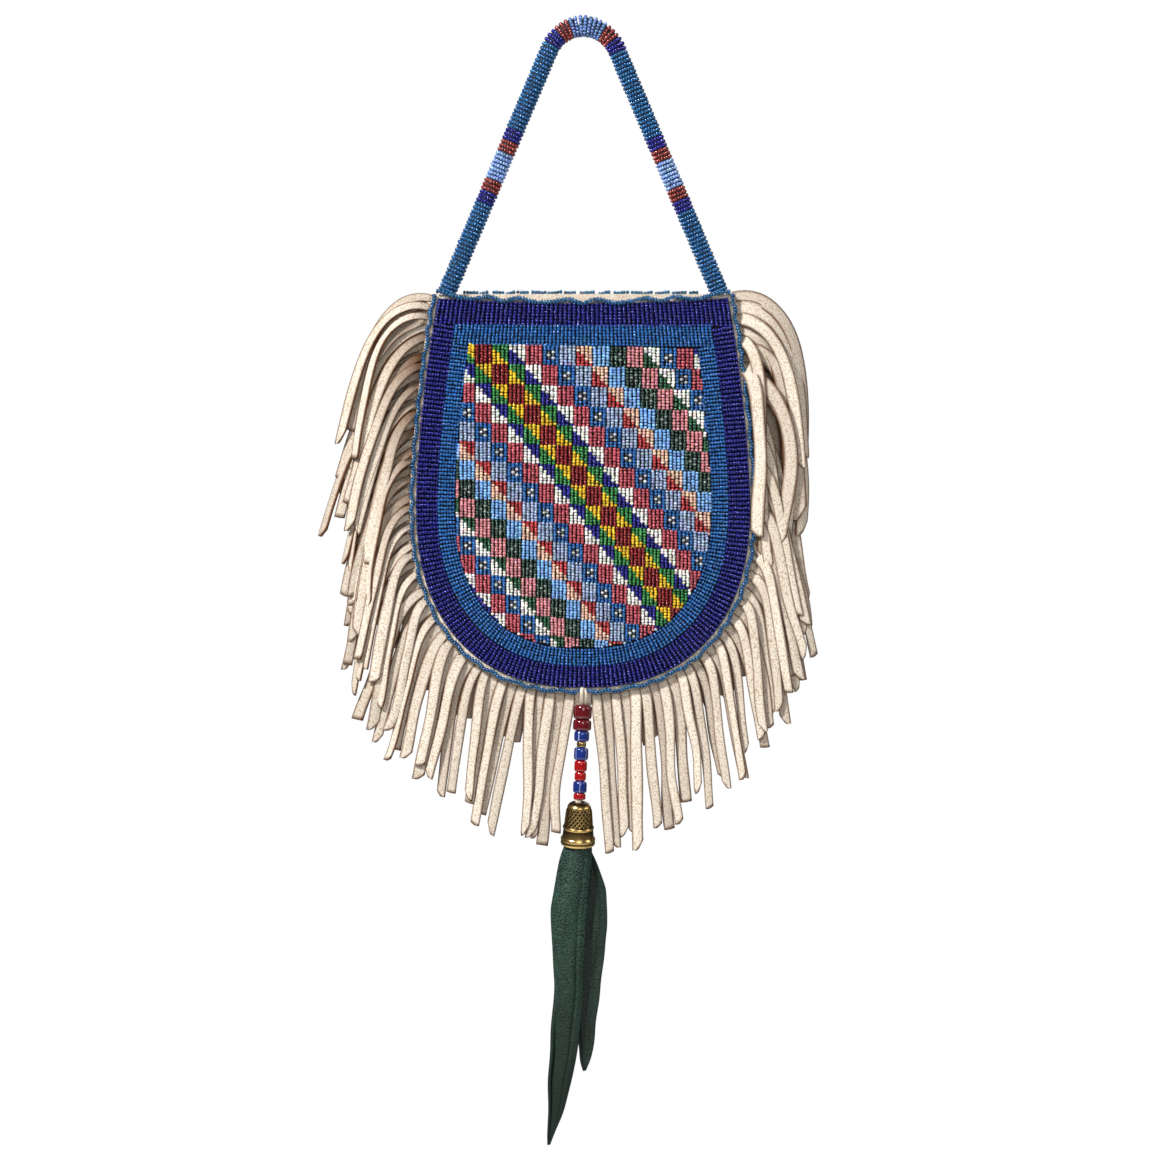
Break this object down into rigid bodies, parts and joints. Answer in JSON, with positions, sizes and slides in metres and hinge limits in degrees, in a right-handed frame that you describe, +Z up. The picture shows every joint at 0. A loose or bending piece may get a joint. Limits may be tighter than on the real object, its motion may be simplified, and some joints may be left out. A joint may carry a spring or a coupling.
{
  "type": "beaded hide pouch with handle",
  "caption": "U-shaped hide pouch with a seed-bead front, beaded rope handle, cut hide fringe round its seam and a bead and thimble pendant with a leather tail.",
  "frame": {"origin": "underside of the top of the handle, where a peg or hand carries the pouch", "axes": "+Z up, the beaded front faces -Y, +X to the right of a viewer who faces the front"},
  "size_m": [0.2392, 0.0272, 0.5522],
  "materials": {
    "hide": "smoke-free tanned buckskin, matt and napped",
    "dark_blue_beads": "opaque glossy seed beads",
    "mid_blue_beads": "opaque glossy seed beads",
    "field_beads": "opaque glossy seed beads of many colours",
    "oxblood_glass": "glossy opaque glass",
    "blue_glass": "glossy glass with white stripes",
    "red_glass": "glossy opaque glass",
    "brass": "aged and rubbed",
    "green_leather": "dyed thin leather, matt"
  },
  "bodies": {
    "root": {"front_panel": "hide", "back_panel": "hide", "outer_bead_border": "dark_blue_beads", "inner_bead_border": "mid_blue_beads", "bead_field": "field_beads", "fringe": "hide", "seam_edging_left": "mid_blue_beads", "seam_edging_right": "mid_blue_beads", "front_rim_edging": "mid_blue_beads", "back_rim_edging": "mid_blue_beads", "handle": "mid_blue_beads", "bead_oxblood_upper": "oxblood_glass", "bead_oxblood_lower": "oxblood_glass", "bead_blue_upper": "blue_glass", "bead_brass": "brass", "bead_blue_middle": "blue_glass", "bead_red_upper": "red_glass", "bead_red_middle": "red_glass", "bead_blue_lower": "blue_glass", "bead_red_lower": "red_glass", "thimble": "brass", "thong": "hide", "tail_front": "green_leather", "tail_back": "green_leather"}
  },
  "joints": []
}
